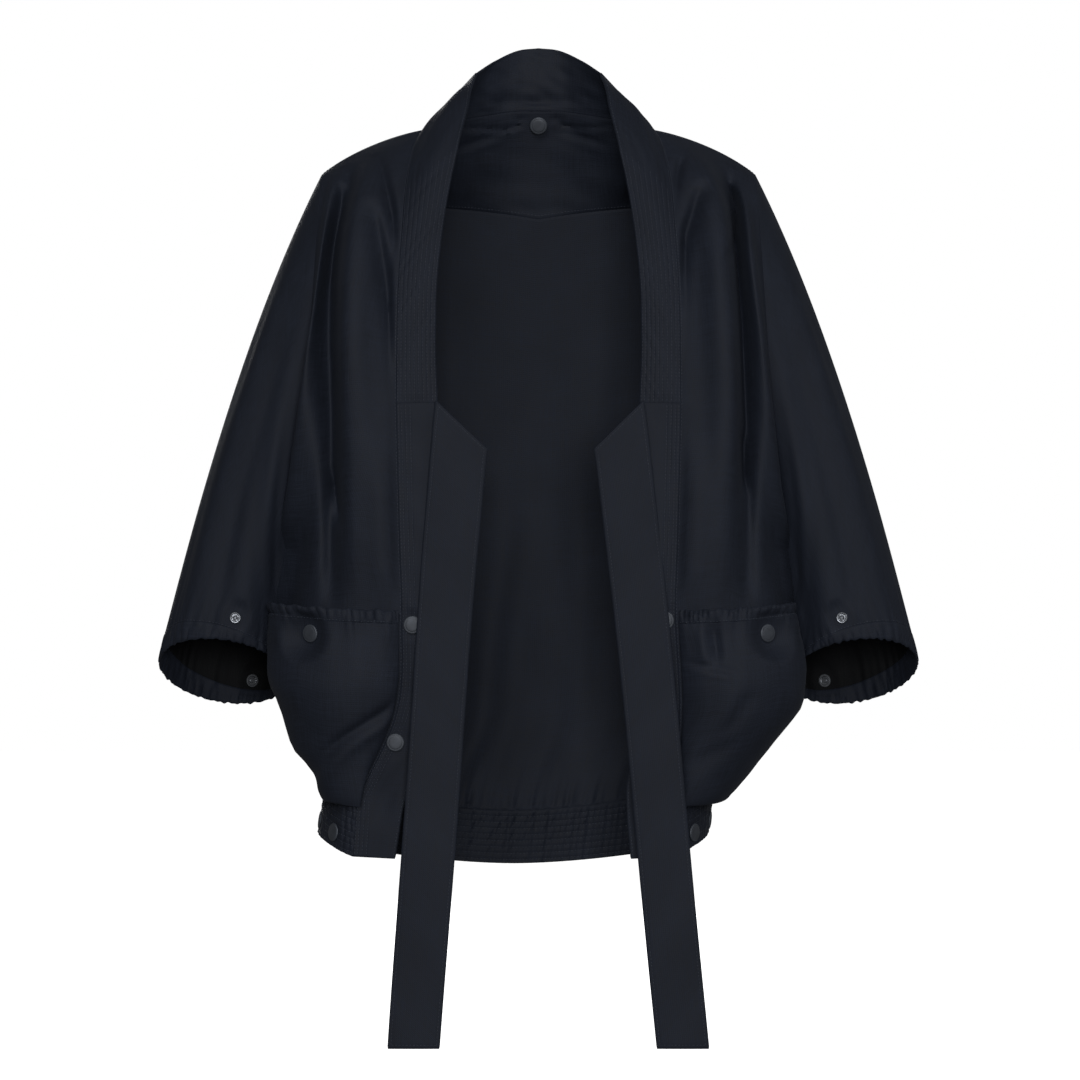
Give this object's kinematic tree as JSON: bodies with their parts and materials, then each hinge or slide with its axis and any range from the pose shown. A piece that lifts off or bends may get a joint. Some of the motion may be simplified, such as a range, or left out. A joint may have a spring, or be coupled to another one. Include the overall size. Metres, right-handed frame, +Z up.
{
  "type": "cape jacket",
  "caption": "Open-front cape jacket with wide sleeves, a standing collar, topstitched bands, pouch pockets with press snaps, a hem band and two long ties.",
  "frame": {"origin": "centre of the neck opening, level with the nape, in the plane of the shoulder seams", "axes": "+X to the wearer's left, +Y to the wearer's back, +Z up"},
  "size_m": [0.7218, 0.2455, 0.9445],
  "materials": {
    "shell_cloth": "satin",
    "band_cloth": "satin",
    "snap_cap": "satin",
    "snap_metal": "satin"
  },
  "bodies": {
    "garment": {"back_panel": "shell_cloth", "back_yoke": "shell_cloth", "collar_stand": "band_cloth", "hem_band": "band_cloth", "left_edge_band": "band_cloth", "left_front": "shell_cloth", "left_front_hem_snap_cap": "snap_cap", "left_front_hem_snap_socket": "snap_metal", "left_hem_band": "band_cloth", "left_lower_edge_snap_cap": "snap_cap", "left_lower_edge_snap_socket": "snap_metal", "left_neck_band": "band_cloth", "left_pocket": "shell_cloth", "left_pocket_hem": "shell_cloth", "left_pocket_snap_cap": "snap_cap", "left_pocket_snap_post": "snap_metal", "left_pocket_snap_socket": "snap_metal", "left_pocket_snap_stud": "snap_metal", "left_side_hem_snap_cap": "snap_cap", "left_side_hem_snap_socket": "snap_metal", "left_upper_edge_snap_cap": "snap_cap", "left_upper_edge_snap_socket": "snap_metal", "neck_snap_post": "snap_metal", "neck_snap_stud": "snap_metal", "right_edge_band": "band_cloth", "right_front": "shell_cloth", "right_front_hem_snap_cap": "snap_cap", "right_front_hem_snap_socket": "snap_metal", "right_hem_band": "band_cloth", "right_lower_edge_snap_cap": "snap_cap", "right_lower_edge_snap_socket": "snap_metal", "right_neck_band": "band_cloth", "right_pocket": "shell_cloth", "right_pocket_hem": "shell_cloth", "right_pocket_snap_cap": "snap_cap", "right_pocket_snap_post": "snap_metal", "right_pocket_snap_socket": "snap_metal", "right_pocket_snap_stud": "snap_metal", "right_side_hem_snap_cap": "snap_cap", "right_side_hem_snap_socket": "snap_metal", "right_upper_edge_snap_cap": "snap_cap", "right_upper_edge_snap_socket": "snap_metal"},
    "left_sleeve_body": {"left_sleeve": "shell_cloth", "left_sleeve_back_snap_cap": "snap_cap", "left_sleeve_back_snap_socket": "snap_metal", "left_sleeve_front_snap_post": "snap_metal", "left_sleeve_front_snap_stud": "snap_metal", "left_sleeve_hem": "shell_cloth"},
    "right_sleeve_body": {"right_sleeve": "shell_cloth", "right_sleeve_back_snap_cap": "snap_cap", "right_sleeve_back_snap_socket": "snap_metal", "right_sleeve_front_snap_post": "snap_metal", "right_sleeve_front_snap_stud": "snap_metal", "right_sleeve_hem": "shell_cloth"},
    "left_tie_body": {"left_tie": "band_cloth"},
    "right_tie_body": {"right_tie": "band_cloth"},
    "neck_snap_top": {"neck_snap_cap": "snap_cap", "neck_snap_socket": "snap_metal"}
  },
  "joints": [
    {"name": "left_sleeve_raise", "type": "hinge", "parent": "garment", "child": "left_sleeve_body", "pos_m": [0.2, 0, -0.05], "axis": [0, -1, 0], "range_deg": [0, 30]},
    {"name": "right_sleeve_raise", "type": "hinge", "parent": "garment", "child": "right_sleeve_body", "pos_m": [-0.2, 0, -0.05], "axis": [0, 1, 0], "range_deg": [0, 30]},
    {"name": "left_tie_swing", "type": "hinge", "parent": "garment", "child": "left_tie_body", "pos_m": [0.098, -0.121, -0.268], "axis": [-1, 0, 0], "range_deg": [0, 80]},
    {"name": "right_tie_swing", "type": "hinge", "parent": "garment", "child": "right_tie_body", "pos_m": [-0.096, -0.121, -0.268], "axis": [-1, 0, 0], "range_deg": [0, 80]},
    {"name": "neck_snap_pull", "type": "slide", "parent": "garment", "child": "neck_snap_top", "axis": [0, -0.9502, -0.3117], "range_m": [0, 0.008]}
  ]
}
